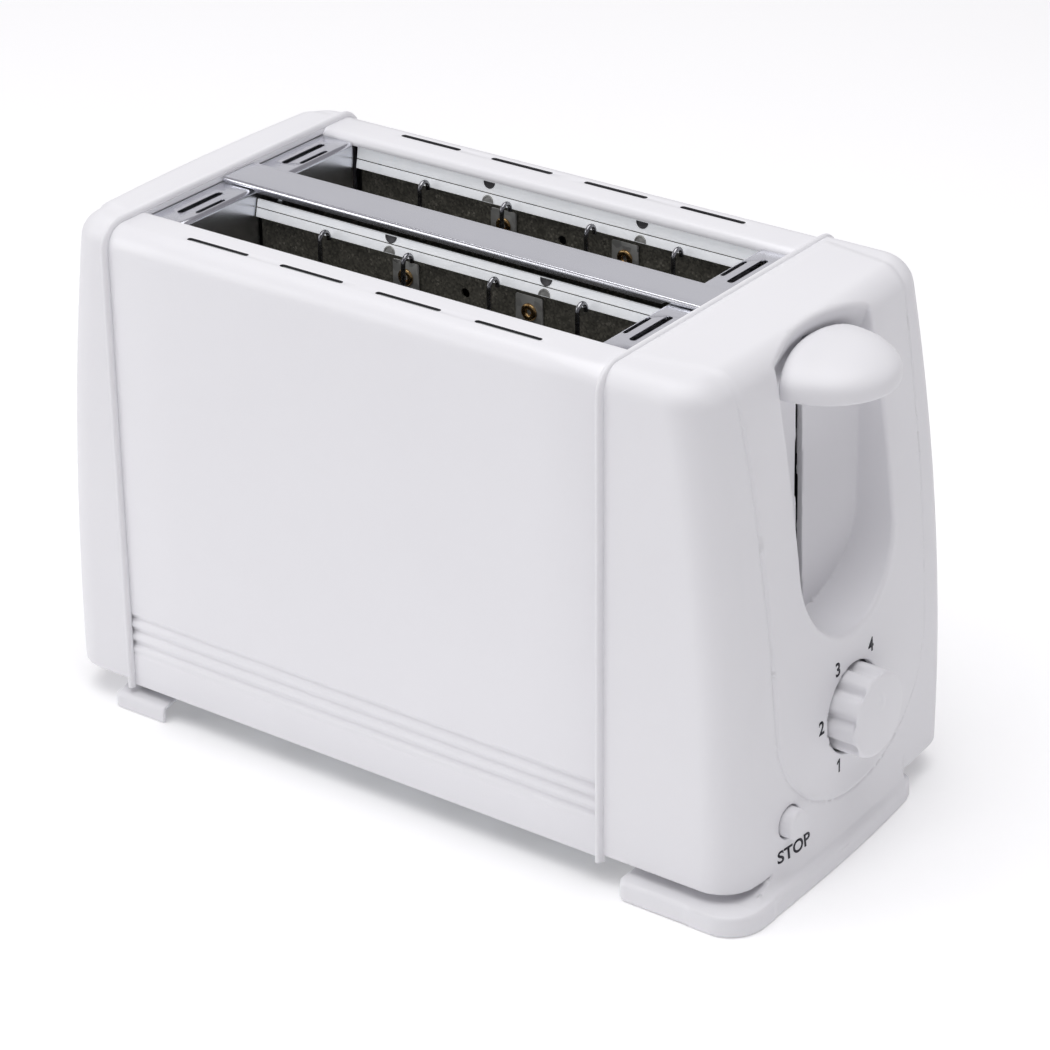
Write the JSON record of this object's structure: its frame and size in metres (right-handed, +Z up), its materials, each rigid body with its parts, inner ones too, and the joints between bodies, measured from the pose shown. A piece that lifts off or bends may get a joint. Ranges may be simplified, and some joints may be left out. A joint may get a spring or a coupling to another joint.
{
  "type": "pop up toaster",
  "caption": "Pop-up bread toaster: painted steel wrap between moulded end caps, chromed slot trim, end lever, browning dial and stop button.",
  "frame": {"origin": "bottom centre of the toaster's overall box, on the surface its feet stand on", "axes": "+X towards the lever end, -Y the long front side, +Z up"},
  "size_m": [0.284, 0.136, 0.1747],
  "materials": {
    "white_paint": "smooth semi-gloss stoving paint",
    "white_plastic": "fine satin moulding",
    "chrome": "bright plated sheet",
    "zinc_sheet": "bright galvanised sheet",
    "steel": "plain bright steel",
    "mica": "dark speckled mica board, heat stained",
    "nichrome": "oxidised resistance ribbon",
    "brass": "bright rolled eyelet",
    "circuit_laminate": "lacquered laminate",
    "black_plastic": "moulded, fine texture",
    "copper": "enamelled winding wire"
  },
  "bodies": {
    "chassis": {"body_shell": "white_paint", "lever_end_cap": "white_plastic", "plain_end_cap": "white_plastic", "front_plain_foot": "white_plastic", "rear_plain_foot": "white_plastic", "rear_lever_foot": "white_plastic", "lever_end_frame": "chrome", "plain_end_frame": "chrome", "centre_bar": "chrome", "base_plate": "zinc_sheet", "front_outer_strip": "zinc_sheet", "front_inner_strip": "zinc_sheet", "rear_inner_strip": "zinc_sheet", "rear_outer_strip": "zinc_sheet", "front_guide_rod": "steel", "rear_guide_rod": "steel", "lift_spring": "steel", "magnet_core": "steel", "magnet_coil": "copper", "base_screw_a": "steel", "base_screw_b": "steel", "base_screw_c": "steel", "base_screw_d": "steel", "front_outer_wire_guard": "steel", "front_inner_wire_guard": "steel", "rear_inner_wire_guard": "steel", "rear_outer_wire_guard": "steel", "front_outer_mica_board": "mica", "front_inner_mica_board": "mica", "rear_inner_mica_board": "mica", "rear_outer_mica_board": "mica", "front_outer_heating_ribbon": "nichrome", "front_inner_heating_ribbon": "nichrome", "rear_inner_heating_ribbon": "nichrome", "rear_outer_heating_ribbon": "nichrome", "front_outer_eyelet_a": "brass", "front_outer_eyelet_b": "brass", "front_inner_eyelet_a": "brass", "front_inner_eyelet_b": "brass", "rear_inner_eyelet_a": "brass", "rear_inner_eyelet_b": "brass", "rear_outer_eyelet_a": "brass", "rear_outer_eyelet_b": "brass", "circuit_board": "circuit_laminate", "browning_control": "black_plastic", "stop_switch": "black_plastic", "mains_switch": "black_plastic", "terminal_block": "black_plastic", "cord_gland": "black_plastic"},
    "carriage": {"lever_knob": "white_plastic", "carriage_bracket": "zinc_sheet", "front_bread_rest": "steel", "rear_bread_rest": "steel", "armature_plate": "steel"},
    "dial": {"browning_knob": "white_plastic", "browning_shaft": "steel"},
    "stop": {"stop_button": "white_plastic"},
    "tray": {"crumb_tray": "zinc_sheet"}
  },
  "joints": [
    {"name": "carriage_slide", "type": "slide", "parent": "chassis", "child": "carriage", "axis": [0, 0, -1], "range_m": [0, 0.064], "stiffness_N_per_m": 60, "springref_m": -0.1, "deforming": ["lift_spring"]},
    {"name": "browning_dial", "type": "hinge", "parent": "chassis", "child": "dial", "pos_m": [0.12635, 0, 0.0492], "axis": [1, 0, 0], "range_deg": [-150, 150]},
    {"name": "stop_press", "type": "slide", "parent": "chassis", "child": "stop", "axis": [-1, 0, 0], "range_m": [0, 0.0025], "stiffness_N_per_m": 300, "springref_m": -0.002},
    {"name": "tray_slide", "type": "slide", "parent": "chassis", "child": "tray", "axis": [0, 1, 0], "range_m": [0, 0.105]}
  ]
}
